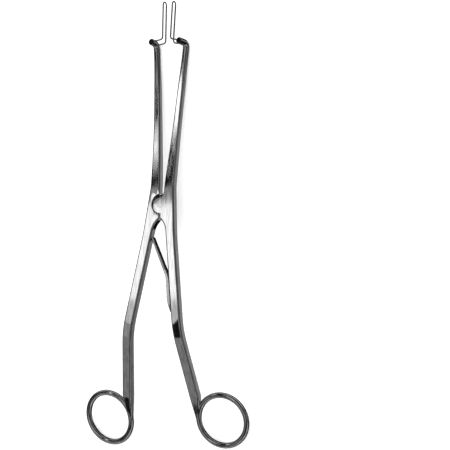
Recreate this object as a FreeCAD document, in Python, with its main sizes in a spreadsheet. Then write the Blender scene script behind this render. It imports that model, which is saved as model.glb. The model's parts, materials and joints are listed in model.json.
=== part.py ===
"""Endocervical speculum: two levers that open their jaws when the handles are squeezed.

The working frame has the pivot at its origin, X towards the tips, Y towards the left lever and Z
out of the joint's front face, where the wire tips stand. At the end every piece is laid down
together, on the two rings and the two jaw elbows, as the instrument lies on a table.
"""

import FreeCAD, Part
import math
import os
import Sketcher
from FreeCAD import Placement, Rotation, Vector

LEFT, RIGHT = 1, -1
ONE_PLACE = 1e-4  # places closer together than this are the same

# Millimetres and degrees.
SIZES = (
    ("lever_width", 5.4, "shank, side to side"),
    ("lever_thickness", 4.3, "shank and joint, front to back"),
    ("lever_edge", 0.9, "rounding along the lever's edges"),
    ("shank_offset", 4.45, "shank's centre line beside the pivot"),
    ("shank_spread", 9.18, "angle between a shank and the middle plane"),
    ("shank_length", 69.4, "pivot to the handle's bend"),
    ("handle_bend", 22.8, "how far the handle turns back"),
    ("bend_radius", 35.0, "radius of that bend"),
    ("handle_length", 51.7, "bend to the level of the ring's centre"),
    ("root_length", 15.0, "taper of the shank into its ring"),
    ("root_width", 2.2, "end of that taper, side to side"),
    ("root_thickness", 2.4, "end of that taper, front to back"),
    ("ring_outer", 31.0, "outer diameter of a finger ring"),
    ("ring_bore", 25.0, "inner diameter of a finger ring"),
    ("ring_wire", 3.1, "thickness of the ring's round section"),
    ("ring_shift", 12.27, "ring's centre outside the shank's line"),
    ("joint_back", 24.0, "joint block's rear end along the shank"),
    ("joint_shoulder", 17.0, "where its outer edge leaves the shank's line, behind the pivot"),
    ("joint_sweep", 90.0, "rounding of the outer edge there"),
    ("lobe_diameter", 10.6, "round half-thick lobe about the pivot"),
    ("lobe_clearance", 0.15, "lobe's rim to the recess around it"),
    ("lap_gap", 0.06, "between the two lapped faces"),
    ("slot_angle", 6.5, "rear shoulder from the middle plane"),
    ("slot_depth", 8.9, "rear crotch behind the pivot"),
    ("crotch_round", 9.5, "arch of the rear crotch"),
    ("front_angle", 14.3, "front shoulder from the middle plane"),
    ("front_crotch", 4.9, "front crotch ahead of the pivot"),
    ("pin_diameter", 3.2, "pivot pin"),
    ("pin_flare", 0.6, "riveted flare at each end of the pin"),
    ("pin_clearance", 0.04, "pin in the lever that turns on it"),
    ("joint_neck", 3.0, "straight end of the joint block before the jaw"),
    ("neck_sweep", 30.0, "rounding where that end begins"),
    ("jaw_start", 13.0, "where the jaw leaves the joint block"),
    ("jaw_offset", 4.4, "jaw's centre line there"),
    ("jaw_width", 5.7, "jaw's width there"),
    ("jaw_splay", 2.67, "jaw's angle there"),
    ("jaw_bow", 1850.0, "radius of the jaw's outward bow"),
    ("jaw_rise", 1000.0, "radius of its bow towards the front"),
    ("jaw_length", 70.0, "jaw from the block to its elbow"),
    ("jaw_taper", 60.0, "length over which the jaw becomes round"),
    ("rod_diameter", 3.55, "round end of the jaw, elbow and post"),
    ("rod_round", 1.7, "rounding of its sides, nearly half of that"),
    ("elbow_radius", 3.0, "centre line radius of the elbow"),
    ("elbow_lead", 1.7, "straight rod before the elbow"),
    ("post_height", 7.35, "post's end above the rod's axis"),
    ("post_lean", 6.9, "how far the post leans inwards"),
    ("post_edge", 0.25, "bevel around the post's end"),
    ("wire_diameter", 0.8, "wire of the tips"),
    ("tip_height", 4.05, "middle of the hairpin above the rod's axis, at the post"),
    ("tip_standoff", 6.95, "hairpin's plane inside the post's axis"),
    ("tip_splay", 1.28, "angle of that plane"),
    ("tip_reach", 22.7, "hairpin's end ahead of the post's axis"),
    ("tip_spacing", 3.4, "hairpin's two legs, axis to axis"),
    ("leg_lead", 3.4, "straight start of the legs, ahead of the post's axis"),
    ("leg_ahead", 1.75, "upper leg's bend ahead of the post's axis"),
    ("leg_step", 1.75, "lower leg's bend behind the upper one's"),
    ("leg_back", 1.0, "how far a leg runs back on its way out to the post"),
    ("leg_round", 1.6, "bend of each leg towards the post"),
    ("tip_seat", 0.1, "brazed gap between a leg and its post"),
    ("spring_width", 3.0, "leaf spring, front to back"),
    ("spring_root", 39.0, "blade's root behind the pivot, along the shank"),
    ("foot_thickness", 1.9, "spring's foot on the shank"),
    ("foot_length", 19.0, "length of the foot"),
    ("foot_flat", 13.0, "part of the foot before it thins out"),
    ("foot_feather", 0.5, "thin end of the foot"),
    ("blade_root", 1.5, "blade's thickness at its root"),
    ("blade_end", 1.1, "blade's thickness at its free end"),
    ("blade_length", 23.4, "blade, from root to free end"),
    ("spring_clearance", 0.15, "free end to the left shank"),
    ("flex_gap", 0.1, "between the foot and the blade's rounded root"),
    ("rivet_diameter", 1.2, "spring rivets"),
    ("rivet_head", 2.2, "their heads"),
    ("rivet_rise", 0.5, "height of a head"),
    ("rivet_bevel", 0.35, "bevel around a head"),
    ("rivet_depth", 2.4, "how deep a rivet sits in the shank"),
    ("rivet_first", 4.5, "first rivet behind the foot's front end"),
    ("rivet_pitch", 6.0, "from one rivet to the next"),
    ("rivet_fit", 0.02, "rivet in its hole"),
)

doc = FreeCAD.newDocument("endocervical_speculum")
sheet = doc.addObject("Spreadsheet::Sheet", "Sizes")
for row, (alias, value, meaning) in enumerate(SIZES, 1):
    sheet.set(f"A{row}", meaning)
    sheet.set(f"B{row}", str(value))
    sheet.setAlias(f"B{row}", alias)
doc.recompute()


def number(expression):
    """The value of an expression on the sheet's sizes, in millimetres or degrees."""
    value = sheet.evalExpression(expression)
    return float(getattr(value, "Value", value))


def vector(x, y, z):
    return f"vector({x}; {y}; {z})"


def turned(axis, angle):
    return f"rotation({vector(*axis)}; {angle})"


SQUARE_ON = turned((0, 0, 1), 0)
UP = (0, 1, 0)
ACROSS = (1, 0, 0)


def sketch_on(body, name, role, base, turn=SQUARE_ON):
    """A sketch on one of the body's own origin planes, shifted and turned in that plane's frame.

    XY_Plane has axes X, Y and normal Z; XZ_Plane has X, Z and -Y; YZ_Plane has Y, Z and X.
    """
    sketch = body.newObject("Sketcher::SketchObject", name)
    plane = next(item for item in body.Origin.OriginFeatures if item.Role == role)
    sketch.AttachmentSupport = (plane, [""])
    sketch.MapMode = "FlatFace"
    sketch.setExpression("AttachmentOffset", f"placement({base}; {turn})")
    return sketch


def bind(sketch, kind, *arguments):
    """Adds a dimension whose value is the expression given last."""
    *where, expression = arguments
    index = sketch.addConstraint(Sketcher.Constraint(kind, *where, number(expression)))
    sketch.setExpression(f"Constraints[{index}]", expression)


def fix_point(sketch, curve, end, x, y):
    bind(sketch, "DistanceX", -1, 1, curve, end, x)
    bind(sketch, "DistanceY", -1, 1, curve, end, y)


def round_hole(sketch, radius, x="0", y="0"):
    middle = Vector(number(x), number(y), 0)
    curve = sketch.addGeometry(Part.Circle(middle, Vector(0, 0, 1), number(radius)), False)
    bind(sketch, "Radius", curve, radius)
    fix_point(sketch, curve, 3, x, y)


def centre_line(sketch, x, low, high):
    """A construction line along the sketch's second axis, to revolve about."""
    start = Vector(number(x), number(low), 0)
    end = Vector(number(x), number(high), 0)
    curve = sketch.addGeometry(Part.LineSegment(start, end), True)
    fix_point(sketch, curve, 1, x, low)
    fix_point(sketch, curve, 2, x, high)


def run(sketch, corners, closed=True):
    """Straight lines through the corners, each (x, y) or (x, y, rounding). Returns the lines."""
    count = len(corners)
    places = [Vector(number(c[0]), number(c[1]), 0) for c in corners]
    rounds = [number(c[2]) if len(c) > 2 else 0.0 for c in corners]
    before, after = list(places), list(places)
    for i in range(count):
        if rounds[i]:
            back = (places[i - 1] - places[i]).normalize()
            ahead = (places[(i + 1) % count] - places[i]).normalize()
            trim = rounds[i] / math.tan(back.getAngle(ahead) / 2)
            before[i] = places[i] + back * trim
            after[i] = places[i] + ahead * trim
    lines = []
    for i in range(count if closed else count - 1):
        segment = Part.LineSegment(after[i], before[(i + 1) % count])
        lines.append(sketch.addGeometry(segment, False))
    for i in range(0 if closed else 1, count if closed else count - 1):
        line_in, line_out = lines[i - 1], lines[i]
        if not rounds[i]:
            sketch.addConstraint(Sketcher.Constraint("Coincident", line_in, 2, line_out, 1))
            fix_point(sketch, line_out, 1, corners[i][0], corners[i][1])
            continue
        rounded_corner(sketch, corners[i], places[i], (before[i], after[i]), line_in, line_out)
    if not closed:
        fix_point(sketch, lines[0], 1, corners[0][0], corners[0][1])
        fix_point(sketch, lines[-1], 2, corners[-1][0], corners[-1][1])
    return lines


def rounded_corner(sketch, corner, place, ends, line_in, line_out):
    """An arc tangent to both lines, with their corner kept as a construction point."""
    x, y, rounding = corner
    radius = number(rounding)
    start, end = ends
    middle = start.add(end) * 0.5
    inward = (middle - place).normalize()
    centre = place + inward * math.hypot(radius, (start - place).Length)
    left_turn = (place - start).cross(end - place).z > 0
    first, last = (start, end) if left_turn else (end, start)
    angles = [math.atan2(p.y - centre.y, p.x - centre.x) for p in (first, last)]
    circle = Part.Circle(centre, Vector(0, 0, 1), radius)
    arc = sketch.addGeometry(Part.ArcOfCircle(circle, *angles), False)
    point = sketch.addGeometry(Part.Point(place), True)
    entry, leave = (1, 2) if left_turn else (2, 1)
    sketch.addConstraint(Sketcher.Constraint("Tangent", line_in, 2, arc, entry))
    sketch.addConstraint(Sketcher.Constraint("Tangent", arc, leave, line_out, 1))
    bind(sketch, "Radius", arc, rounding)
    fix_point(sketch, point, 1, x, y)
    sketch.addConstraint(Sketcher.Constraint("PointOnObject", point, 1, line_in))
    sketch.addConstraint(Sketcher.Constraint("PointOnObject", point, 1, line_out))


def rounded_bar(sketch, width, height, rounding, x="0"):
    """The section of a bar: a rectangle about (x, 0) with rounded corners."""
    w, h = f"({width}) / 2", f"({height}) / 2"
    signs = ((-1, -1), (1, -1), (1, 1), (-1, 1))
    run(sketch, [(f"({x}) + {sx} * {w}", f"{sy} * {h}", rounding) for sx, sy in signs])


def every_edge(sketch):
    return [f"Edge{i + 1}" for i in range(len(sketch.Shape.Edges))]


def sweep(body, name, section, path):
    doc.recompute()
    pipe = body.newObject("PartDesign::AdditivePipe", name)
    pipe.Profile = section
    pipe.Spine = (path, every_edge(path))
    doc.recompute()
    return pipe


def loft(body, name, sections):
    feature = body.newObject("PartDesign::AdditiveLoft", name)
    feature.Profile = sections[0]
    feature.Sections = sections[1:]
    doc.recompute()
    return feature


def extrude(body, kind, name, sketch, length=None, reverse=False):
    """A pad or pocket: symmetric through everything, or to one side by a length."""
    feature = body.newObject(f"PartDesign::{kind}", name)
    feature.Profile = sketch
    if length is None:
        feature.Type = "ThroughAll"
        feature.SideType = "Symmetric"
    else:
        feature.setExpression("Length", length)
        feature.Reversed = reverse
    doc.recompute()
    return feature


def slab(body, name, sketch, thickness):
    """A pad that is as thick in front of its sketch as behind it."""
    feature = body.newObject("PartDesign::Pad", name)
    feature.Profile = sketch
    feature.SideType = "Symmetric"
    feature.setExpression("Length", thickness)
    doc.recompute()
    return feature


def revolve(body, kind, name, sketch):
    feature = body.newObject(f"PartDesign::{kind}", name)
    feature.Profile = sketch
    feature.ReferenceAxis = (sketch, ["Axis0"])
    feature.Angle = 360
    doc.recompute()
    return feature


def dress(body, kind, name, base, size, chosen):
    """A fillet or chamfer on the edges of the base that the test chooses."""
    edges = [f"Edge{i + 1}" for i, edge in enumerate(base.Shape.Edges) if chosen(edge)]
    if not edges:
        raise RuntimeError(f"{name} finds no edge")
    feature = body.newObject(f"PartDesign::{kind}", name)
    feature.Base = (base, edges)
    feature.setExpression("Radius" if kind == "Fillet" else "Size", size)
    doc.recompute()
    return feature


# Shank, bend and ring. Distances run back from the pivot along the shank's line.

SPREAD = "Sizes.shank_spread"
HALF_THICK = "Sizes.lever_thickness / 2"
RING_LINE = "(Sizes.ring_outer / 2 - Sizes.ring_wire / 2)"


def shank_turn(side, axis=UP):
    return turned(axis, f"{-side} * {SPREAD}")


def handle_point(along, side):
    """X, Y and Z of a point on the handle's line, past the bend by the distance given."""
    back = f"(Sizes.shank_length + ({along}) * cos(Sizes.handle_bend))"
    x = f"-{back} * cos({SPREAD})"
    y = f"{side} * (Sizes.shank_offset + {back} * sin({SPREAD}))"
    z = f"-({along}) * sin(Sizes.handle_bend)"
    return x, y, z


def handle_sketch(body, name, along, side):
    """A sketch square to the handle's line: first axis sideways, second out of the ring's plane."""
    x, y, z = handle_point(along, side)
    turn = f"{shank_turn(side)} * {turned(ACROSS, '-Sizes.handle_bend')}"
    return sketch_on(body, name, "YZ_Plane", vector(y, z, x), turn)


def make_shank(body, side):
    path = sketch_on(body, "shank_line", "XZ_Plane", vector(0, 0, f"{-side} * Sizes.shank_offset"),
                     shank_turn(side))
    run_out = "(Sizes.handle_length - Sizes.root_length)"
    end = (f"-Sizes.shank_length - {run_out} * cos(Sizes.handle_bend)",
           f"-{run_out} * sin(Sizes.handle_bend)")
    bend = ("-Sizes.shank_length", "0", "Sizes.bend_radius")
    run(path, [("-Sizes.joint_back", "0"), bend, end], closed=False)
    start = vector(f"{side} * (Sizes.shank_offset + Sizes.joint_back * sin({SPREAD}))", 0,
                   f"-Sizes.joint_back * cos({SPREAD})")
    section = sketch_on(body, "shank_section", "YZ_Plane", start, shank_turn(side))
    rounded_bar(section, "Sizes.lever_width", "Sizes.lever_thickness", "Sizes.lever_edge")
    sweep(body, "shank", section, path)

    root_top = handle_sketch(body, "root_top", run_out, side)
    rounded_bar(root_top, "Sizes.lever_width", "Sizes.lever_thickness", "Sizes.lever_edge")
    root_end = handle_sketch(body, "root_end", "Sizes.handle_length", side)
    rounded_bar(root_end, "Sizes.root_width", "Sizes.root_thickness", "Sizes.lever_edge",
                f"{side} * (Sizes.ring_shift - {RING_LINE})")
    loft(body, "ring_root", [root_top, root_end])


def make_ring(body, side):
    """A round section with a narrow polished land on its inside, turned about the ring's axis."""
    section = handle_sketch(body, "ring_section", "Sizes.handle_length", side)
    centre_x = f"{side} * (Sizes.ring_shift - {RING_LINE})"
    land_x = f"{side} * (Sizes.ring_shift - Sizes.ring_bore / 2)"
    radius = "Sizes.ring_wire / 2"
    middle = Vector(number(centre_x), 0, 0)
    half_land = math.acos((number(land_x) - middle.x) / (side * number(radius)))
    start = half_land if side == LEFT else half_land + math.pi
    arc = Part.ArcOfCircle(Part.Circle(middle, Vector(0, 0, 1), number(radius)), start,
                           start + 2 * (math.pi - half_land))
    curve = section.addGeometry(arc, False)
    bind(section, "Radius", curve, radius)
    fix_point(section, curve, 3, centre_x, "0")
    land = section.addGeometry(Part.LineSegment(arc.EndPoint, arc.StartPoint), False)
    section.addConstraint(Sketcher.Constraint("Coincident", curve, 2, land, 1))
    section.addConstraint(Sketcher.Constraint("Coincident", land, 2, curve, 1))
    section.addConstraint(Sketcher.Constraint("Vertical", land))
    bind(section, "DistanceX", -1, 1, land, 1, land_x)
    centre_line(section, f"{side} * Sizes.ring_shift", "-Sizes.ring_wire", "Sizes.ring_wire")
    revolve(body, "Revolution", "ring", section)


# Joint block with its lobe and recess.

INNER_LINE = f"(Sizes.shank_offset - Sizes.lever_width / 2 / cos({SPREAD}))"
OUTER_LINE = f"(Sizes.shank_offset + Sizes.lever_width / 2 / cos({SPREAD}))"


def make_joint_block(body, side):
    plan = sketch_on(body, "joint_plan", "XY_Plane", vector(0, 0, 0))
    half = "Sizes.lever_width / 2"
    rear_x = f"-Sizes.joint_back * cos({SPREAD})"
    rear_y = f"(Sizes.shank_offset + Sizes.joint_back * sin({SPREAD}))"
    slot_y = "Sizes.slot_depth * tan(Sizes.slot_angle)"
    arch_x = f"({INNER_LINE} - {slot_y} + Sizes.slot_depth) / (1 - tan({SPREAD}))"

    def neck_point(outward, back):
        """A corner of the block's straight end: inner or outer edge, at the jaw or at the neck's root."""
        along = f"({back} * Sizes.joint_neck)"
        across = f"({outward} * Sizes.jaw_width / 2)"
        x = f"Sizes.jaw_start - {along} * cos(Sizes.jaw_splay) - {across} * sin(Sizes.jaw_splay)"
        y = f"Sizes.jaw_offset - {along} * sin(Sizes.jaw_splay) + {across} * cos(Sizes.jaw_splay)"
        return x, y

    corners = [
        (f"{rear_x} - {half} * sin({SPREAD})", f"{rear_y} - {half} * cos({SPREAD})"),
        (f"-{arch_x}", f"{INNER_LINE} + {arch_x} * tan({SPREAD})", "Sizes.crotch_round"),
        ("-Sizes.slot_depth", slot_y),
        ("0", "0"),
        ("Sizes.front_crotch", "Sizes.front_crotch * tan(Sizes.front_angle)"),
        (*neck_point(-1, 1), "Sizes.neck_sweep"),
        neck_point(-1, 0),
        neck_point(1, 0),
        (*neck_point(1, 1), "Sizes.neck_sweep"),
        ("-Sizes.joint_shoulder", f"{OUTER_LINE} + Sizes.joint_shoulder * tan({SPREAD})",
         "Sizes.joint_sweep"),
        (f"{rear_x} + {half} * sin({SPREAD})", f"{rear_y} + {half} * cos({SPREAD})"),
    ]
    run(plan, [(x, f"{side} * ({y})", *rounding) for x, y, *rounding in corners])
    block = slab(body, "joint_block", plan, "Sizes.lever_thickness")

    rear = Vector(number(rear_x), side * number(rear_y), 0)
    front = Vector(number("Sizes.jaw_start"), side * number("Sizes.jaw_offset"), 0)

    def is_long_edge(edge):
        middle = edge.valueAt((edge.FirstParameter + edge.LastParameter) / 2)
        level = abs(middle.z)
        flat = all(abs(abs(v.Z) - level) < ONE_PLACE for v in edge.Vertexes) and level > ONE_PLACE
        at_pivot = any(math.hypot(v.X, v.Y) < ONE_PLACE for v in edge.Vertexes)
        on_plan = Vector(middle.x, middle.y, 0)
        at_end = min((on_plan - rear).Length, (on_plan - front).Length) < ONE_PLACE
        return flat and not at_pivot and not at_end

    dress(body, "Fillet", "block_edges", block, "Sizes.lever_edge", is_long_edge)


def make_lap(body, side):
    """The recess for the other lever's lobe, then this lever's own lobe behind the lapped face."""
    lap = vector(0, 0, f"{-side} * Sizes.lap_gap / 2")
    depth = f"{HALF_THICK} + Sizes.lap_gap"
    recess = sketch_on(body, "recess_plan", "XY_Plane", lap)
    round_hole(recess, "Sizes.lobe_diameter / 2 + Sizes.lobe_clearance")
    extrude(body, "Pocket", "recess", recess, depth, reverse=side == LEFT)
    lobe = sketch_on(body, "lobe_plan", "XY_Plane", lap)
    round_hole(lobe, "Sizes.lobe_diameter / 2")
    extrude(body, "Pad", "lobe", lobe, f"{HALF_THICK} - Sizes.lap_gap / 2", reverse=side == LEFT)


def make_pin_bore(body, side):
    clearance = "Sizes.pin_clearance" if side == LEFT else "0"
    radius = f"Sizes.pin_diameter / 2 + {clearance}"
    bore_plan = sketch_on(body, "bore_plan", "XY_Plane", vector(0, 0, 0))
    round_hole(bore_plan, radius)
    bore = extrude(body, "Pocket", "pin_bore", bore_plan)
    face = -side * number(HALF_THICK)
    bore_radius = number(radius)

    def is_rim(edge):
        at_face = all(abs(v.Z - face) < ONE_PLACE for v in edge.Vertexes)
        return at_face and all(abs(math.hypot(v.X, v.Y) - bore_radius) < ONE_PLACE for v in edge.Vertexes)

    dress(body, "Chamfer", "pin_countersink", bore, "Sizes.pin_flare", is_rim)


# Jaw, elbow and post.

JAW_STATIONS = 4
ELBOW_REACH = "(Sizes.elbow_lead + Sizes.elbow_radius)"


def jaw_point(ahead):
    """X, Y and Z of the jaw's centre line, ahead of the joint block by the distance given."""
    x = f"(Sizes.jaw_start + ({ahead}))"
    y = f"(Sizes.jaw_offset + ({ahead}) * tan(Sizes.jaw_splay) + ({ahead})^2 / (2 * Sizes.jaw_bow))"
    z = f"(({ahead})^2 / (2 * Sizes.jaw_rise))"
    return x, y, z


def jaw_slopes(ahead):
    """How far the centre line turns outwards and rises there."""
    return f"atan(tan(Sizes.jaw_splay) + ({ahead}) / Sizes.jaw_bow)", f"atan(({ahead}) / Sizes.jaw_rise)"


def jaw_section(body, name, ahead, done, side):
    """A station on the jaw. done is 0 at the joint block and 1 where the rod is round."""
    x, y, z = jaw_point(ahead)
    outwards, rise = jaw_slopes(ahead)
    turn = f"{turned(UP, f'{side} * {outwards}')} * {turned(ACROSS, f'-{rise}')}"
    section = sketch_on(body, name, "YZ_Plane", vector(f"{side} * {y}", z, x), turn)
    left_over = (1 - done) ** 2
    width = f"Sizes.rod_diameter + (Sizes.jaw_width - Sizes.rod_diameter) * {left_over}"
    height = f"Sizes.rod_diameter + (Sizes.lever_thickness - Sizes.rod_diameter) * {left_over}"
    rounding = f"Sizes.lever_edge + (Sizes.rod_round - Sizes.lever_edge) * {done}"
    rounded_bar(section, width, height, rounding)
    return section


def make_jaw(body, side):
    sections = []
    for i in range(JAW_STATIONS):
        done = i / (JAW_STATIONS - 1)
        sections.append(jaw_section(body, f"jaw_section_{i}", f"Sizes.jaw_taper * {done}", done, side))
    end = jaw_section(body, "elbow_section", "Sizes.jaw_length", 1, side)
    loft(body, "jaw", sections + [end])

    x, y, z = jaw_point("Sizes.jaw_length")
    outwards, rise = jaw_slopes("Sizes.jaw_length")
    turn = (f"{turned(UP, f'{side} * {outwards}')} * {turned((0, 0, 1), rise)} * "
            f"{turned(ACROSS, f'{side} * Sizes.post_lean')}")
    path = sketch_on(body, "elbow_line", "XZ_Plane", vector(x, z, f"{-side} * {y}"), turn)
    top = (f"{ELBOW_REACH} + Sizes.post_height * sin({rise})", f"Sizes.post_height * cos({rise})")
    run(path, [("0", "0"), (ELBOW_REACH, "0", "Sizes.elbow_radius"), top], closed=False)
    post = sweep(body, "elbow_and_post", end, path)
    post_end = path.Placement.multVec(Vector(number(top[0]), number(top[1]), 0))
    reach = number("Sizes.rod_diameter")

    def is_post_rim(edge):
        return all((v.Point - post_end).Length < reach for v in edge.Vertexes)

    dress(body, "Chamfer", "post_rim", post, "Sizes.post_edge", is_post_rim)


def make_arm(name, side):
    body = doc.addObject("PartDesign::Body", name)
    make_joint_block(body, side)
    make_shank(body, side)
    make_ring(body, side)
    make_lap(body, side)
    make_pin_bore(body, side)
    make_jaw(body, side)
    return body


# Wire tips: a hairpin, one leg above the other, whose legs turn back to the post.


def post_foot():
    """Where the rod's line meets the post's: the foot from which the post is measured."""
    x, y, z = jaw_point("Sizes.jaw_length")
    outwards, rise = jaw_slopes("Sizes.jaw_length")
    along = f"{ELBOW_REACH} * cos({rise})"
    return (f"({x} + {along} * cos({outwards}))", f"({y} + {along} * sin({outwards}))",
            f"({z} + {ELBOW_REACH} * sin({rise}))")


def make_tip(name, side):
    body = doc.addObject("PartDesign::Body", name)
    post_x, post_y, post_z = post_foot()
    rise = jaw_slopes("Sizes.jaw_length")[1]
    wire_radius = "Sizes.wire_diameter / 2"
    half = "Sizes.tip_spacing / 2"

    def place(ahead, above):
        """A point of the hairpin's plane, which rises with the jaw's end."""
        forward = f"(({ahead}) * cos({rise}) - ({above}) * sin({rise}))"
        x = f"({post_x} + {forward} * cos(Sizes.tip_splay))"
        y = f"({side} * ({post_y} - Sizes.tip_standoff + {forward} * sin(Sizes.tip_splay)))"
        z = f"({post_z} + Sizes.tip_height + ({ahead}) * sin({rise}) + ({above}) * cos({rise}))"
        return x, y, z

    x, y, z = place("0", "0")
    hairpin = sketch_on(body, "hairpin_line", "XZ_Plane", vector(x, z, f"-{y}"),
                        f"{turned(UP, f'{side} * Sizes.tip_splay')} * {turned((0, 0, 1), rise)}")
    end_x = f"Sizes.tip_reach - {wire_radius} - {half}"
    upper = run(hairpin, [("Sizes.leg_lead", half), (end_x, half)], closed=False)[0]
    lower = run(hairpin, [("Sizes.leg_lead", f"-{half}"), (end_x, f"-{half}")], closed=False)[0]
    bow = Part.Circle(Vector(number(end_x), 0, 0), Vector(0, 0, 1), number(half))
    curve = hairpin.addGeometry(Part.ArcOfCircle(bow, -math.pi / 2, math.pi / 2), False)
    hairpin.addConstraint(Sketcher.Constraint("Coincident", curve, 2, upper, 2))
    hairpin.addConstraint(Sketcher.Constraint("Coincident", curve, 1, lower, 2))
    bind(hairpin, "DistanceX", -1, 1, curve, 3, end_x)

    legs = (("upper", half, "Sizes.leg_ahead"), ("lower", f"-{half}", "(Sizes.leg_ahead - Sizes.leg_step)"))
    for leg, above, bend in legs:
        x, y, z = place("Sizes.leg_lead", above)
        section = sketch_on(body, f"{leg}_section", "YZ_Plane", vector(y, z, x),
                            f"{turned(UP, f'{side} * Sizes.tip_splay')} * {turned(ACROSS, f'-{rise}')}")
        round_hole(section, wire_radius)
        if leg == "upper":
            sweep(body, "hairpin", section, hairpin)
        line = sketch_on(body, f"{leg}_leg_line", "XY_Plane", vector(*place("0", above)),
                         f"{turned((0, 0, 1), f'{side} * Sizes.tip_splay')} * {turned(UP, f'-{rise}')}")
        to_post = f"Sizes.tip_standoff - (Sizes.tip_height + {above}) * tan(Sizes.post_lean)"
        run(line, [
            ("Sizes.leg_lead", "0"),
            (bend, "0", "Sizes.leg_round"),
            (f"{bend} - Sizes.leg_back", f"{side} * ({to_post})"),
        ], closed=False)
        sweep(body, f"{leg}_leg", section, line)

    seat = sketch_on(body, "seat_plan", "XY_Plane", vector(post_x, f"{side} * {post_y}", post_z),
                     turned(ACROSS, f"{side} * Sizes.post_lean"))
    round_hole(seat, "Sizes.rod_diameter / 2 + Sizes.tip_seat")
    extrude(body, "Pocket", "post_seat", seat)
    return body


# Pivot pin: riveted flush at both ends, fast in the right lever.


def make_pin():
    body = doc.addObject("PartDesign::Body", "pivot_pin")
    half = sketch_on(body, "pin_half", "XZ_Plane", vector(0, 0, 0))
    shaft = "Sizes.pin_diameter / 2"
    flare = f"{shaft} + Sizes.pin_flare"
    neck = f"{HALF_THICK} - Sizes.pin_flare"
    run(half, [
        ("0", f"-{HALF_THICK}"),
        (flare, f"-{HALF_THICK}"),
        (shaft, f"-({neck})"),
        (shaft, neck),
        (flare, HALF_THICK),
        ("0", HALF_THICK),
    ])
    centre_line(half, "0", f"-{HALF_THICK}", HALF_THICK)
    revolve(body, "Revolution", "pin", half)
    return body


# Leaf spring on the right shank. Its sketches run along that shank, with the second axis inwards.

STRIP_PLACE = vector(0, "-Sizes.shank_offset", 0)
STRIP_TURN = turned((0, 0, 1), SPREAD)
FACE = "Sizes.lever_width / 2"
FOOT_TOP = "(Sizes.lever_width / 2 + Sizes.foot_thickness)"
FOOT_FRONT = "(Sizes.spring_root + Sizes.blade_root / 2 + Sizes.flex_gap)"
ROUND_END = 0.95  # rounding of the blade's ends, as a share of half its thickness


def make_foot():
    body = doc.addObject("PartDesign::Body", "spring_foot")
    side_view = sketch_on(body, "foot_side", "XY_Plane", STRIP_PLACE, STRIP_TURN)
    run(side_view, [
        (f"-{FOOT_FRONT}", FACE),
        (f"-{FOOT_FRONT}", FOOT_TOP),
        (f"-{FOOT_FRONT} - Sizes.foot_flat", FOOT_TOP, "Sizes.foot_flat"),
        (f"-{FOOT_FRONT} - Sizes.foot_length", f"{FACE} + Sizes.foot_feather"),
        (f"-{FOOT_FRONT} - Sizes.foot_length", FACE),
    ])
    slab(body, "foot", side_view, "Sizes.spring_width")
    drill_for_rivets(body)
    return body


def rivet_places():
    first = f"-{FOOT_FRONT} - Sizes.rivet_first"
    return first, f"{first} - Sizes.rivet_pitch"


def drill_for_rivets(body):
    for index, place in enumerate(rivet_places()):
        half = sketch_on(body, f"rivet_hole_{index}", "XY_Plane", STRIP_PLACE, STRIP_TURN)
        radius = "Sizes.rivet_diameter / 2 + Sizes.rivet_fit"
        low = f"{FACE} - Sizes.rivet_depth - Sizes.rivet_fit"
        high = f"{FOOT_TOP} + Sizes.rivet_rise"
        run(half, [
            (place, low),
            (f"{place} + {radius}", low),
            (f"{place} + {radius}", high),
            (place, high),
        ])
        centre_line(half, place, low, high)
        revolve(body, "Groove", f"rivet_bore_{index}", half)


def make_rivets():
    """Two rivets, alike, in one node."""
    body = doc.addObject("PartDesign::Body", "spring_rivets")
    for index, place in enumerate(rivet_places()):
        half = sketch_on(body, f"rivet_half_{index}", "XY_Plane", STRIP_PLACE, STRIP_TURN)
        low = f"{FACE} - Sizes.rivet_depth"
        high = f"{FOOT_TOP} + Sizes.rivet_rise"
        run(half, [
            (place, low),
            (f"{place} + Sizes.rivet_diameter / 2", low),
            (f"{place} + Sizes.rivet_diameter / 2", FOOT_TOP),
            (f"{place} + Sizes.rivet_head / 2", FOOT_TOP),
            (f"{place} + Sizes.rivet_head / 2", f"{high} - Sizes.rivet_bevel"),
            (f"{place} + Sizes.rivet_head / 2 - Sizes.rivet_bevel", high),
            (place, high),
        ])
        centre_line(half, place, low, high)
        revolve(body, "Revolution", f"rivet_{index}", half)
    return body


def make_blade():
    """The blade from its rounded root to its free end, which bears on the left shank."""
    body = doc.addObject("PartDesign::Body", "spring_blade")
    along = "Sizes.spring_root"
    out = f"({FOOT_TOP} - Sizes.blade_root / 2)"
    root_x = f"(-{along} * cos({SPREAD}) - {out} * sin({SPREAD}))"
    root_y = f"(-Sizes.shank_offset - {along} * sin({SPREAD}) + {out} * cos({SPREAD}))"
    to_left = f"({INNER_LINE} * cos({SPREAD}) - {root_x} * sin({SPREAD}) - {root_y} * cos({SPREAD}))"
    rise = f"({to_left} - Sizes.blade_end / 2 - Sizes.spring_clearance) / Sizes.blade_length"
    angle = f"asin({rise}) - {SPREAD} * 1 deg"
    side_view = sketch_on(body, "blade_side", "XY_Plane", vector(root_x, root_y, 0),
                          turned((0, 0, 1), angle))
    thick, thin = "Sizes.blade_root / 2", "Sizes.blade_end / 2"
    run(side_view, [
        (f"-{thick}", f"-{thick}", f"{thick} * {ROUND_END}"),
        (f"Sizes.blade_length + {thin}", f"-{thin}", f"{thin} * {ROUND_END}"),
        (f"Sizes.blade_length + {thin}", thin, f"{thin} * {ROUND_END}"),
        (f"-{thick}", thick, f"{thick} * {ROUND_END}"),
    ])
    slab(body, "blade", side_view, "Sizes.spring_width")
    return body


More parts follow.
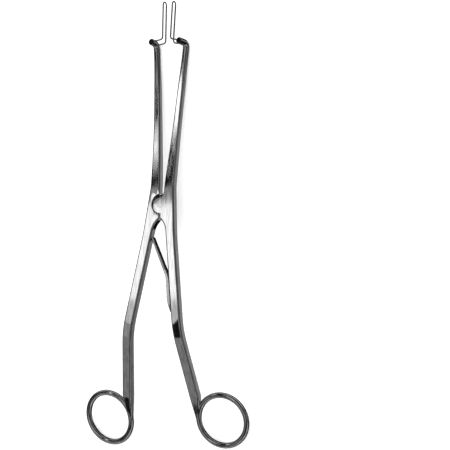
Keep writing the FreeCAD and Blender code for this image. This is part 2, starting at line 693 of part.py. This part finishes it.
right_arm = make_arm("right_arm", RIGHT)
drill_for_rivets(right_arm)
pieces = [
    right_arm,
    make_arm("left_arm", LEFT),
    make_pin(),
    make_tip("right_tip", RIGHT),
    make_tip("left_tip", LEFT),
    make_foot(),
    make_rivets(),
    make_blade(),
]

# Laying it down: the tips drop until the rings and the elbows touch the table together.


def height(point, pitch):
    return point.z * math.cos(pitch) - point.x * math.sin(pitch)


def ring_lowest(pitch):
    bend = math.radians(number("Sizes.handle_bend"))
    spread = math.radians(number(SPREAD))
    centre = Vector(*(number(part) for part in handle_point("Sizes.handle_length", LEFT)))
    centre.x += number("Sizes.ring_shift") * math.sin(spread)
    axis = Vector(-math.sin(bend) * math.cos(spread), 0, math.cos(bend))
    tilt = height(axis, pitch)
    return height(centre, pitch) - number(RING_LINE) * math.sqrt(1 - tilt**2) - number("Sizes.ring_wire / 2")


def elbow_lowest(pitch):
    x, _, z = jaw_point("Sizes.jaw_length")
    rise = math.radians(number(jaw_slopes("Sizes.jaw_length")[1]))
    lead, radius = number("Sizes.elbow_lead"), number("Sizes.elbow_radius")
    centre = Vector(number(x) + lead * math.cos(rise) - radius * math.sin(rise), 0,
                    number(z) + lead * math.sin(rise) + radius * math.cos(rise))
    return height(centre, pitch) - radius - number("Sizes.rod_diameter / 2")


STEEPEST = math.radians(30)
HALVINGS = 60


def resting_pitch():
    low, high = 0.0, STEEPEST
    for _ in range(HALVINGS):
        middle = (low + high) / 2
        if ring_lowest(middle) < elbow_lowest(middle):
            low = middle
        else:
            high = middle
    return low


pitch = math.degrees(resting_pitch())
tilt = Rotation(Vector(0, 1, 0), pitch)
lying = Part.makeCompound([piece.Shape for piece in pieces])
lying.Placement = Placement(Vector(0, 0, 0), tilt)
box = lying.optimalBoundingBox(False, False)
shift = Vector(-(box.XMin + box.XMax) / 2, -(box.YMin + box.YMax) / 2, -box.ZMin)
for piece in pieces:
    piece.Placement = Placement(shift, tilt)
doc.recompute()

for item in doc.Objects:
    if "Invalid" in item.State or "Error" in item.State:
        raise RuntimeError(f"{item.Name} did not compute: {item.State}")
os.makedirs("parts", exist_ok=True)
for piece in pieces:
    shape = piece.Shape
    if shape.isNull() or not shape.isValid():
        raise RuntimeError(f"{piece.Label} has no valid shape")
    shape.exportStep(f"parts/{piece.Label}.step")
    extent = shape.optimalBoundingBox(False, False)
    print(f"{piece.Label}: {len(shape.Solids)} solids, {shape.Volume:.1f} mm3, "
          f"{extent.XLength:.2f} x {extent.YLength:.2f} x {extent.ZLength:.2f}")
print(f"pitch {pitch:.4f} deg, pivot at {shift.x:.4f} {shift.y:.4f} {shift.z:.4f}")
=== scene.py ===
"""Endocervical speculum on a pale table, seen from above its right lever."""

import json
import math

import bmesh
import bpy
from mathutils import Euler, Matrix, Vector


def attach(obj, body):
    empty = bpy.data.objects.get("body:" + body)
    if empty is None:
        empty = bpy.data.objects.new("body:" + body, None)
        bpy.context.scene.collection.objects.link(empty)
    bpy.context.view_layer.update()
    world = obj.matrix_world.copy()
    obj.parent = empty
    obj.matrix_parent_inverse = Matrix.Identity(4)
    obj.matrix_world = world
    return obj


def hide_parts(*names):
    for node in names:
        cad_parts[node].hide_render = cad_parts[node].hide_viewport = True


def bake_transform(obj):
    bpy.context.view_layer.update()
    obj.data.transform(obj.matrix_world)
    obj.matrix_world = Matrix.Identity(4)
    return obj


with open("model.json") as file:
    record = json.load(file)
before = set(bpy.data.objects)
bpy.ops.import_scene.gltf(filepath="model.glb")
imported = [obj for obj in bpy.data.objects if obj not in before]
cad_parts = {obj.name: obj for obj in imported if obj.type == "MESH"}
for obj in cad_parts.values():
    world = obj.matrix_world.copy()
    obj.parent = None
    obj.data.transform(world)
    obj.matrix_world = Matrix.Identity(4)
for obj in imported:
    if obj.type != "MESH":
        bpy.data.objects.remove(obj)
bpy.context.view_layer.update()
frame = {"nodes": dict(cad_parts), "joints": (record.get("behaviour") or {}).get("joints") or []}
nodes = frame["nodes"]

# Camera: a long lens over the right lever's side, 1.25 m away, with the tips at the top of the
# picture.

LENS = 187.07
SENSOR = 36.0
VIEW_DEPTH = 20.0
CAMERA_PLACE = (-0.05336, -0.64696, 1.08755)
CAMERA_TURN = (2.581, 29.432, -89.596)

camera_data = bpy.data.cameras.new("camera")
camera_data.lens = LENS
camera_data.sensor_width = SENSOR
camera_data.clip_end = VIEW_DEPTH
camera = bpy.data.objects.new("camera", camera_data)
camera.location = CAMERA_PLACE
camera.rotation_euler = Euler([math.radians(angle) for angle in CAMERA_TURN])
bpy.context.scene.collection.objects.link(camera)
bpy.context.scene.camera = camera

# Table: a large white sheet that glows faintly, so that shadows stay pale. Steel mirrors the room's
# lower half in its place, so that its sides keep the dark edges that a small sheet gives.

TABLE_SIZE = 6.0
TABLE_WHITE = (0.94, 0.94, 0.945, 1.0)
TABLE_GLOW = 0.3
PAPER_ROUGH = 0.9
PAPER_SHEEN = 0.1

table_mesh = bmesh.new()
bmesh.ops.create_grid(table_mesh, x_segments=1, y_segments=1, size=TABLE_SIZE / 2)
table_data = bpy.data.meshes.new("table")
table_mesh.to_mesh(table_data)
table_mesh.free()
table = bpy.data.objects.new("table", table_data)
bpy.context.scene.collection.objects.link(table)
table.visible_glossy = False

paper = bpy.data.materials.new("paper")
paper.use_nodes = True
paper_shader = paper.node_tree.nodes["Principled BSDF"]
paper_shader.inputs["Base Color"].default_value = TABLE_WHITE
paper_shader.inputs["Roughness"].default_value = PAPER_ROUGH
paper_shader.inputs["Specular IOR Level"].default_value = PAPER_SHEEN
paper_shader.inputs["Emission Color"].default_value = (1.0, 1.0, 1.0, 1.0)
paper_shader.inputs["Emission Strength"].default_value = TABLE_GLOW
table_data.materials.append(paper)

# Light: an even white tent for everything matt. The steel mirrors a dim room instead, shaded from
# straight down to straight up, with soft glows and, over the far side, soft boxes. A glow has its
# direction, the cosines at which it starts and is full, and its shade. A box has place, size, shade.

TENT_WHITE = 1.3
ROOM_SHADES = (
    (0.0, 0.003),
    (0.38, 0.003),
    (0.43, 0.05),
    (0.53, 0.05),
    (0.6, 0.02),
    (0.7, 0.006),
    (0.95, 0.006),
    (1.0, 0.01),
)
GLOWS = (
    ((0.1, -0.48, -0.87), 0.92, 0.985, 0.27),
    ((0.0, -1.0, 0.0), 0.94, 0.99, 0.16),
    ((0.0, -0.82, 0.57), 0.82, 0.98, 0.07),
    ((0.0, 0.82, -0.57), 0.8, 0.96, 0.3),
    ((0.0, 0.0, 1.0), 0.965, 0.995, 0.25),
    ((0.26, 0.0, 0.966), 0.95, 0.985, 0.3),
    ((-0.34, 0.0, 0.94), 0.95, 0.985, 0.3),
    ((1.0, 0.0, 0.1), 0.84, 0.95, 0.3),
    ((-1.0, 0.0, 0.1), 0.84, 0.95, 0.3),
    ((0.72, 0.69, 0.05), 0.86, 0.96, 0.3),
    ((0.72, -0.69, 0.05), 0.86, 0.96, 0.3),
    ((-0.72, 0.69, 0.05), 0.86, 0.96, 0.3),
    ((-0.72, -0.69, 0.05), 0.86, 0.96, 0.3),
)
BOX_HEIGHT = 0.30
SOFT_BOXES = (
    ("shank_box", (0.071, 0.174), (0.07, 0.06), 1.3),
    ("shank_fill_box", (0.003, 0.174), (0.066, 0.06), 0.6),
    ("joint_box", (0.112, 0.18), (0.012, 0.05), 0.3),
    ("left_jaw_box", (0.1415, 0.192), (0.01, 0.016), 1.5),
    ("left_tip_box", (0.171, 0.192), (0.026, 0.016), 0.22),
    ("right_jaw_box", (0.1535, 0.1735), (0.0175, 0.019), 1.7),
    ("right_tip_box", (0.165, 0.1735), (0.0055, 0.019), 0.25),
    ("left_bend_box", (-0.0925, 0.22), (0.125, 0.06), 0.3),
    ("handle_box", (-0.24, 0.22), (0.17, 0.26), 0.2),
)

world = bpy.data.worlds.new("room")
bpy.context.scene.world = world
world.use_nodes = True
tree = world.node_tree
tree.nodes.clear()
direction = tree.nodes.new("ShaderNodeTexCoord")
split = tree.nodes.new("ShaderNodeSeparateXYZ")
tree.links.new(direction.outputs["Generated"], split.inputs[0])
height = tree.nodes.new("ShaderNodeMapRange")
height.inputs["From Min"].default_value = -1.0
tree.links.new(split.outputs["Z"], height.inputs["Value"])
ramp = tree.nodes.new("ShaderNodeValToRGB")
elements = ramp.color_ramp.elements
while len(elements) < len(ROOM_SHADES):
    elements.new(1.0)
for element, (place, shade) in zip(elements, ROOM_SHADES):
    element.position = place
    element.color = (shade, shade, shade, 1.0)
tree.links.new(height.outputs["Result"], ramp.inputs["Fac"])
strength = ramp.outputs["Color"]
for axis, start, full, shade in GLOWS:
    near = tree.nodes.new("ShaderNodeVectorMath")
    near.operation = "DOT_PRODUCT"
    near.inputs[1].default_value = Vector(axis).normalized()
    tree.links.new(direction.outputs["Generated"], near.inputs[0])
    glow = tree.nodes.new("ShaderNodeMapRange")
    glow.interpolation_type = "SMOOTHSTEP"
    glow.inputs["From Min"].default_value = start
    glow.inputs["From Max"].default_value = full
    glow.inputs["To Max"].default_value = shade
    tree.links.new(near.outputs["Value"], glow.inputs["Value"])
    total = tree.nodes.new("ShaderNodeMath")
    total.operation = "ADD"
    tree.links.new(strength, total.inputs[0])
    tree.links.new(glow.outputs["Result"], total.inputs[1])
    strength = total.outputs[0]
room = tree.nodes.new("ShaderNodeBackground")
room.inputs["Color"].default_value = (1.0, 1.0, 1.0, 1.0)
tree.links.new(strength, room.inputs["Strength"])
tent = tree.nodes.new("ShaderNodeBackground")
tent.inputs["Color"].default_value = (1.0, 1.0, 1.0, 1.0)
tent.inputs["Strength"].default_value = TENT_WHITE
rays = tree.nodes.new("ShaderNodeLightPath")
choice = tree.nodes.new("ShaderNodeMixShader")
tree.links.new(rays.outputs["Is Glossy Ray"], choice.inputs[0])
tree.links.new(tent.outputs[0], choice.inputs[1])
tree.links.new(room.outputs[0], choice.inputs[2])
output = tree.nodes.new("ShaderNodeOutputWorld")
tree.links.new(choice.outputs[0], output.inputs["Surface"])
bpy.context.scene.view_settings.view_transform = "Standard"

for name, (x, y), (long, wide), shade in SOFT_BOXES:
    box_data = bpy.data.lights.new(name, "AREA")
    box_data.shape = "RECTANGLE"
    box_data.size, box_data.size_y = long, wide
    box_data.energy = shade * math.pi * long * wide
    soft_box = bpy.data.objects.new(name, box_data)
    soft_box.location = (x, y, BOX_HEIGHT)
    soft_box.visible_diffuse = False
    soft_box.visible_camera = False
    bpy.context.scene.collection.objects.link(soft_box)

# Levers: two forgings of stainless steel, lapped at the joint and polished. The polish leaves fine
# marks along each lever and rubs its edges duller. The jaws stay flat on top until shortly before
# their elbows, and the rims of the lobes and recesses are broken.

CREASE = math.radians(32)
MARK_STRETCH = (0.06, 1.0, 1.0)
MARK_DETAIL = 5.0
STREAK_SPAN = (0.4, 0.6)
DARK_STREAK = 0.78
SMEAR_SCALE = 70.0
SMEAR_DETAIL = 2.0
SMEAR_SHARE = 0.4
ROUGH_SPAN = (0.36, 0.66)
RUB_START = 0.9
RUB_ROUGH = 0.06
RUB_SAMPLES = 4
RELIEF_DEPTH = 0.0002


def polish_group():
    """Fine lengthwise marks, broad smears and rubbed edges, all in object coordinates."""
    group = bpy.data.node_groups.new("polish", "ShaderNodeTree")
    for name, value in (("Grain", 900.0), ("Low", 0.08), ("High", 0.22), ("Edge", 0.0004)):
        socket = group.interface.new_socket(name, in_out="INPUT", socket_type="NodeSocketFloat")
        socket.default_value = value
    group.interface.new_socket("Steel", in_out="INPUT", socket_type="NodeSocketColor")
    group.interface.new_socket("Color", in_out="OUTPUT", socket_type="NodeSocketColor")
    for name in ("Roughness", "Height"):
        group.interface.new_socket(name, in_out="OUTPUT", socket_type="NodeSocketFloat")
    links = group.links
    inputs = group.nodes.new("NodeGroupInput")
    outputs = group.nodes.new("NodeGroupOutput")
    place = group.nodes.new("ShaderNodeTexCoord")

    scaled = group.nodes.new("ShaderNodeVectorMath")
    scaled.operation = "MULTIPLY"
    scaled.inputs[1].default_value = MARK_STRETCH
    links.new(place.outputs["Object"], scaled.inputs[0])
    marks = group.nodes.new("ShaderNodeTexNoise")
    marks.inputs["Detail"].default_value = MARK_DETAIL
    links.new(scaled.outputs[0], marks.inputs["Vector"])
    links.new(inputs.outputs["Grain"], marks.inputs["Scale"])

    streaks = group.nodes.new("ShaderNodeMapRange")
    streaks.inputs["From Min"].default_value, streaks.inputs["From Max"].default_value = STREAK_SPAN
    streaks.inputs["To Min"].default_value = DARK_STREAK
    links.new(marks.outputs["Fac"], streaks.inputs["Value"])
    toned = group.nodes.new("ShaderNodeVectorMath")
    toned.operation = "SCALE"
    links.new(inputs.outputs["Steel"], toned.inputs[0])
    links.new(streaks.outputs["Result"], toned.inputs["Scale"])
    links.new(toned.outputs[0], outputs.inputs["Color"])

    smears = group.nodes.new("ShaderNodeTexNoise")
    smears.inputs["Scale"].default_value = SMEAR_SCALE
    smears.inputs["Detail"].default_value = SMEAR_DETAIL
    links.new(place.outputs["Object"], smears.inputs["Vector"])
    both = group.nodes.new("ShaderNodeMath")
    both.operation = "MULTIPLY_ADD"
    both.inputs[1].default_value = 1.0 - SMEAR_SHARE
    links.new(marks.outputs["Fac"], both.inputs[0])
    part = group.nodes.new("ShaderNodeMath")
    part.operation = "MULTIPLY"
    part.inputs[1].default_value = SMEAR_SHARE
    links.new(smears.outputs["Fac"], part.inputs[0])
    links.new(part.outputs[0], both.inputs[2])
    span = group.nodes.new("ShaderNodeMapRange")
    span.inputs["From Min"].default_value, span.inputs["From Max"].default_value = ROUGH_SPAN
    links.new(both.outputs[0], span.inputs["Value"])
    links.new(inputs.outputs["Low"], span.inputs["To Min"])
    links.new(inputs.outputs["High"], span.inputs["To Max"])

    rounded = group.nodes.new("ShaderNodeBevel")
    rounded.samples = RUB_SAMPLES
    links.new(inputs.outputs["Edge"], rounded.inputs["Radius"])
    surface = group.nodes.new("ShaderNodeNewGeometry")
    facing = group.nodes.new("ShaderNodeVectorMath")
    facing.operation = "DOT_PRODUCT"
    links.new(rounded.outputs["Normal"], facing.inputs[0])
    links.new(surface.outputs["Normal"], facing.inputs[1])
    rubbed = group.nodes.new("ShaderNodeMapRange")
    rubbed.inputs["From Min"].default_value = RUB_START
    rubbed.inputs["To Min"].default_value = RUB_ROUGH
    rubbed.inputs["To Max"].default_value = 0.0
    links.new(facing.outputs["Value"], rubbed.inputs["Value"])
    rough = group.nodes.new("ShaderNodeMath")
    rough.operation = "ADD"
    links.new(span.outputs["Result"], rough.inputs[0])
    links.new(rubbed.outputs["Result"], rough.inputs[1])
    links.new(rough.outputs[0], outputs.inputs["Roughness"])
    links.new(marks.outputs["Fac"], outputs.inputs["Height"])
    return group


polish = polish_group()


def steel(name, colour, low, high, relief=0.016, grain=900.0):
    """Polished steel of that colour, with its roughness between low and high."""
    material = bpy.data.materials.new(name)
    material.use_nodes = True
    links = material.node_tree.links
    shader = material.node_tree.nodes["Principled BSDF"]
    shader.inputs["Metallic"].default_value = 1.0
    marks = material.node_tree.nodes.new("ShaderNodeGroup")
    marks.node_tree = polish
    marks.inputs["Low"].default_value = low
    marks.inputs["High"].default_value = high
    marks.inputs["Grain"].default_value = grain
    marks.inputs["Steel"].default_value = (*colour, 1.0)
    links.new(marks.outputs["Color"], shader.inputs["Base Color"])
    links.new(marks.outputs["Roughness"], shader.inputs["Roughness"])
    bump = material.node_tree.nodes.new("ShaderNodeBump")
    bump.inputs["Strength"].default_value = relief
    bump.inputs["Distance"].default_value = RELIEF_DEPTH
    links.new(marks.outputs["Height"], bump.inputs["Height"])
    links.new(bump.outputs["Normal"], shader.inputs["Normal"])
    return material


SAME_POINT = 1e-6


def merged(node):
    """A node's mesh in the row frame, with its doubled points merged."""
    work = bmesh.new()
    work.from_mesh(nodes[node].data)
    work.transform(nodes[node].matrix_world)
    bmesh.ops.remove_doubles(work, verts=work.verts, dist=SAME_POINT)
    bmesh.ops.recalc_face_normals(work, faces=work.faces)
    return work


def polished(name, work, node, body, material, normal_at=None):
    """A piece from that mesh, smooth between its creases, that stands in for the node. Where
    normal_at knows the normal at a point, it takes the place of the evened one."""
    for face in work.faces:
        face.smooth = True
    for edge in work.edges:
        edge.smooth = edge.calc_face_angle(0.0) < CREASE
    data = bpy.data.meshes.new(name)
    work.to_mesh(data)
    work.free()
    piece = bpy.data.objects.new(name, data)
    bpy.context.scene.collection.objects.link(piece)
    data.materials.append(material)
    even = piece.modifiers.new("even_normals", "WEIGHTED_NORMAL")
    even.keep_sharp = True
    if normal_at:
        evened = piece.evaluated_get(bpy.context.evaluated_depsgraph_get()).data
        normals = [Vector(corner.vector) for corner in evened.corner_normals]
        known = [normal_at(vertex.co) for vertex in data.vertices]
        piece.modifiers.clear()
        data.normals_split_custom_set([known[loop.vertex_index] or normal
                                       for loop, normal in zip(data.loops, normals)])
    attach(piece, body)
    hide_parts(node)
    return piece


pivot = next(joint for joint in frame["joints"] if joint["name"] == "arm_pivot")
PIVOT_TILT = math.atan2(pivot["axis"][0], pivot["axis"][2])
PIVOT = Matrix.Translation(pivot["pos_m"]) @ Matrix.Rotation(PIVOT_TILT, 4, "Y")
TO_PIVOT = PIVOT.inverted()
HALF_THICK = 0.00215
LOBE_RIMS = (0.0053, 0.00545)
RIM_BEVEL = 0.00022
JAW_START = 0.013
JAW_OFFSET = 0.0044
JAW_SLOPE = math.tan(math.radians(2.67))
JAW_BOW = 1.85
JAW_RISE = 1.0
JAW_TAPER = 0.06
JAW_LENGTH = 0.07
JAW_FLAT_END = 0.045
JAW_WIDTH = 0.0057
ROD = 0.00355
EDGE_ROUND = 0.0009
ROD_ROUND = 0.0017
JAW_MARGINS = (0.0003, 0.0002)
FOOT_STEPS = 4
ON_RIM = 1e-5


def jaw_axes(ahead, side):
    """The jaw's centre and its directions onwards, outwards and up, at a distance from the joint."""
    slope = JAW_SLOPE + ahead / JAW_BOW
    centre = Vector((JAW_START + ahead, side * (JAW_OFFSET + ahead * (JAW_SLOPE + slope) / 2),
                     ahead * ahead / JAW_RISE / 2))
    onwards = Vector((1.0, side * slope, ahead / JAW_RISE)).normalized()
    outwards = Vector((-slope, side, 0.0)).normalized()
    up = onwards.cross(outwards) * side
    return centre, onwards, outwards, up


def jaw_place(point, side):
    """Where a point lies on the jaw, as the distance ahead, the offsets and the half sizes there."""
    local = TO_PIVOT @ point
    ahead = local.x - JAW_START
    for _ in range(FOOT_STEPS):
        centre, onwards, outwards, up = jaw_axes(ahead, side)
        ahead += (local - centre).dot(onwards)
    if side * local.y < 0 or not JAW_MARGINS[0] < ahead < JAW_LENGTH - JAW_MARGINS[1]:
        return None
    done = min(ahead / JAW_TAPER, 1.0)
    wide = (ROD + (JAW_WIDTH - ROD) * (1 - done) ** 2) / 2
    tall = (ROD + (2 * HALF_THICK - ROD) * (1 - done) ** 2) / 2
    across, above = (local - centre).dot(outwards), (local - centre).dot(up)
    return ahead, done, across, above, wide, tall


def flat_round(ahead):
    """The rounding of the visible jaw's edges, narrow at first and full at the elbow."""
    late = min(max((ahead - JAW_FLAT_END) / (JAW_LENGTH - JAW_FLAT_END), 0.0), 1.0)
    return EDGE_ROUND + (ROD_ROUND - EDGE_ROUND) * late * late * (3 - 2 * late)


def edge_turn(across, above, wide, tall, rounding):
    """How far round the jaw's rounded edge a point lies, from its side to its top or underside."""
    return math.atan2(max(abs(above) - tall + rounding, 0.0), max(abs(across) - wide + rounding, 0.0))


def flatten_jaw(work, side):
    """Keeps the jaw's edges narrow and its top flat until shortly before the elbow."""
    for vertex in work.verts:
        placed = jaw_place(vertex.co, side)
        if not placed:
            continue
        ahead, done, across, above, wide, tall = placed
        rounding = EDGE_ROUND + (ROD_ROUND - EDGE_ROUND) * done
        turn = edge_turn(across, above, wide, tall, rounding)
        grow = rounding - flat_round(ahead)
        across += math.copysign(grow * (1 - math.cos(turn)), across)
        above += math.copysign(grow * (1 - math.sin(turn)), above)
        centre, onwards, outwards, up = jaw_axes(ahead, side)
        vertex.co = PIVOT @ (centre + outwards * across + up * above)


def jaw_normal(side):
    """A function that gives the jaw's own normal at a point, so that its shading has no facets."""
    def normal_at(point):
        placed = jaw_place(point, side)
        if not placed:
            return None
        ahead, done, across, above, wide, tall = placed
        turn = edge_turn(across, above, wide, tall, flat_round(ahead))
        narrows = (JAW_WIDTH - ROD) * (1 - done) / JAW_TAPER
        thins = (2 * HALF_THICK - ROD) * (1 - done) / JAW_TAPER
        centre, onwards, outwards, up = jaw_axes(ahead, side)
        normal = (outwards * math.copysign(math.cos(turn), across)
                  + up * math.copysign(math.sin(turn), above)
                  + onwards * (math.cos(turn) * narrows + math.sin(turn) * thins))
        return (PIVOT.to_3x3() @ normal).normalized()
    return normal_at


def break_lobe_rim(work):
    """Bevels the rim of the lobe and of the recess around it, on both faces of the joint."""
    rims = []
    for edge in work.edges:
        ends = [TO_PIVOT @ vertex.co for vertex in edge.verts]
        on_face = all(abs(abs(point.z) - HALF_THICK) < ON_RIM for point in ends)
        reaches = [math.hypot(point.x, point.y) for point in ends]
        on_rim = all(min(abs(reach - rim) for rim in LOBE_RIMS) < ON_RIM for reach in reaches)
        if on_face and on_rim and edge.calc_face_angle(0.0) > CREASE:
            rims.append(edge)
    bmesh.ops.bevel(work, geom=rims, offset=RIM_BEVEL, segments=2, profile=0.5, material=-1,
                    affect="EDGES", clamp_overlap=True)


lever_steel = steel("lever_steel", colour=(0.80, 0.80, 0.81), low=0.03, high=0.11)
for side, side_name in ((1, "left"), (-1, "right")):
    forging = merged(f"{side_name}_arm")
    flatten_jaw(forging, side)
    break_lobe_rim(forging)
    polished(f"{side_name}_lever_forging", forging, f"{side_name}_arm", f"{side_name}_lever",
             lever_steel, jaw_normal(side))

# Pivot pin and spring rivets: turned stainless steel. The pin is riveted through the joint, and the
# two rivets hold the spring's foot on the right shank. All are ground and polished flush.

pin_steel = steel("pin_steel", colour=(0.79, 0.79, 0.80), low=0.04, high=0.12)
polished("pin_shaft", merged("pivot_pin"), "pivot_pin", "right_lever", pin_steel)
polished("rivet_pair", merged("spring_rivets"), "spring_rivets", "right_lever", pin_steel)

# Wire tips: a hairpin of drawn stainless wire on each post, one leg above the other, with a bead of
# braze where each leg meets the post. A leg's end is given on the left lever, with the direction onto
# its post, and the right lever mirrors both.

BEAD_HEIGHT = 0.0011
BEAD_FOOT = 0.00082
BEAD_TOP = 0.00043
BEAD_SINK = 0.4
BEAD_SIDES = 32
LEG_ENDS = (
    ("upper", (0.098724, 0.007077, 0.007276), (-0.17942, 0.98369, 0.01251)),
    ("lower", (0.096739, 0.007487, 0.003992), (-0.16995, 0.98538, 0.01193)),
)

# The wire's colour is set well below steel's own tone, a painted shade that makes the thin wires and
# their beads read dark.
wire_steel = steel("wire_steel", colour=(0.46, 0.46, 0.47), low=0.08, high=0.18, grain=1500.0)
for side, side_name in ((1, "left"), (-1, "right")):
    body = f"{side_name}_lever"
    polished(f"{side_name}_wire", merged(f"{side_name}_tip"), f"{side_name}_tip", body,
             wire_steel)
    for leg, (x, y, z), (dx, dy, dz) in LEG_ENDS:
        to_post = Vector((dx, side * dy, dz))
        middle = Vector((x, side * y, z)) - to_post * BEAD_HEIGHT * (0.5 - BEAD_SINK)
        turn = (-to_post).to_track_quat("Z", "Y").to_matrix().to_4x4()
        work = bmesh.new()
        bmesh.ops.create_cone(work, cap_ends=True, segments=BEAD_SIDES, radius1=BEAD_FOOT,
                              radius2=BEAD_TOP, depth=BEAD_HEIGHT,
                              matrix=Matrix.Translation(middle) @ turn)
        for face in work.faces:
            face.smooth = True
        data = bpy.data.meshes.new(f"{side_name}_{leg}_bead")
        work.to_mesh(data)
        work.free()
        bead = bpy.data.objects.new(data.name, data)
        bpy.context.scene.collection.objects.link(bead)
        data.materials.append(wire_steel)
        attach(bead, body)

# Leaf spring: one rolled strip of hardened stainless steel, riveted to the right shank. It is thinner
# at both ends, leaves the shank in a soft bend and bears on the left one. A point of its line has its
# distance along the shank, its distance inwards from the centre line and the thickness there.

STRIP_WIDTH = 0.003
STRIP_STEPS = 96
STRIP_BEVEL = 0.00025
STRIP_LINE = (
    (-0.05885, 0.00295, 0.0005),
    (-0.05285, 0.00364, 0.00188),
    (-0.0475, 0.00365, 0.0019),
    (-0.0425, 0.00364, 0.00186),
    (-0.0395, 0.00382, 0.00162),
    (-0.0369, 0.00454, 0.00148),
    (-0.0300, 0.00684, 0.00135),
    (-0.0235, 0.00901, 0.00122),
    (-0.01645, 0.01136, 0.0011),
)
SHANK_OFFSET = 0.00445
SHANK_SPREAD = math.radians(9.18)
SHANK = PIVOT @ Matrix.Translation((0.0, -SHANK_OFFSET, 0.0)) @ Matrix.Rotation(SHANK_SPREAD, 4, "Z")


def strip_at(along):
    """The strip's centre, direction and thickness at a distance along the shank."""
    last = len(STRIP_LINE) - 1
    index = min(max(sum(1 for point in STRIP_LINE if point[0] <= along) - 1, 0), last - 1)
    before = STRIP_LINE[max(index - 1, 0)]
    start, end = STRIP_LINE[index], STRIP_LINE[index + 1]
    after = STRIP_LINE[min(index + 2, last)]
    width = end[0] - start[0]
    share = (along - start[0]) / width
    values = []
    slopes = []
    for part in (1, 2):
        rise_in = (end[part] - before[part]) / (end[0] - before[0]) * width
        rise_out = (after[part] - start[part]) / (after[0] - start[0]) * width
        cubic = 2 * start[part] - 2 * end[part] + rise_in + rise_out
        square = -3 * start[part] + 3 * end[part] - 2 * rise_in - rise_out
        values.append(((cubic * share + square) * share + rise_in) * share + start[part])
        slopes.append(((3 * cubic * share + 2 * square) * share + rise_in) / width)
    return values[0], slopes[0], values[1]


spring_steel = steel("spring_steel", colour=(0.66, 0.66, 0.68), low=0.12, high=0.26)
root, free_end = STRIP_LINE[0][0], STRIP_LINE[-1][0]
work = bmesh.new()
bmesh.ops.create_cube(work, size=1.0)
lengthwise = [edge for edge in work.edges if abs(edge.verts[0].co.x - edge.verts[1].co.x) > 0.5]
bmesh.ops.subdivide_edges(work, edges=lengthwise, cuts=STRIP_STEPS - 1, use_grid_fill=True)
for vertex in work.verts:
    along = root + (vertex.co.x + 0.5) * (free_end - root)
    centre, slope, thickness = strip_at(along)
    lean = math.atan(slope)
    across = vertex.co.y * thickness
    vertex.co = Vector((along - across * math.sin(lean), centre + across * math.cos(lean),
                        vertex.co.z * STRIP_WIDTH))
bmesh.ops.recalc_face_normals(work, faces=work.faces)
sharp = [edge for edge in work.edges if edge.calc_face_angle(0.0) > CREASE]
bmesh.ops.bevel(work, geom=sharp, offset=STRIP_BEVEL, segments=3, profile=0.5, material=-1,
                affect="EDGES", clamp_overlap=True)
for face in work.faces:
    face.smooth = True
work.transform(SHANK)
spring_data = bpy.data.meshes.new("leaf_spring")
work.to_mesh(spring_data)
work.free()
leaf_spring = bpy.data.objects.new("leaf_spring", spring_data)
bpy.context.scene.collection.objects.link(leaf_spring)
spring_data.materials.append(spring_steel)
leaf_even = leaf_spring.modifiers.new("even_normals", "WEIGHTED_NORMAL")
leaf_even.keep_sharp = True
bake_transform(leaf_spring)
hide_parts("spring_foot", "spring_blade")
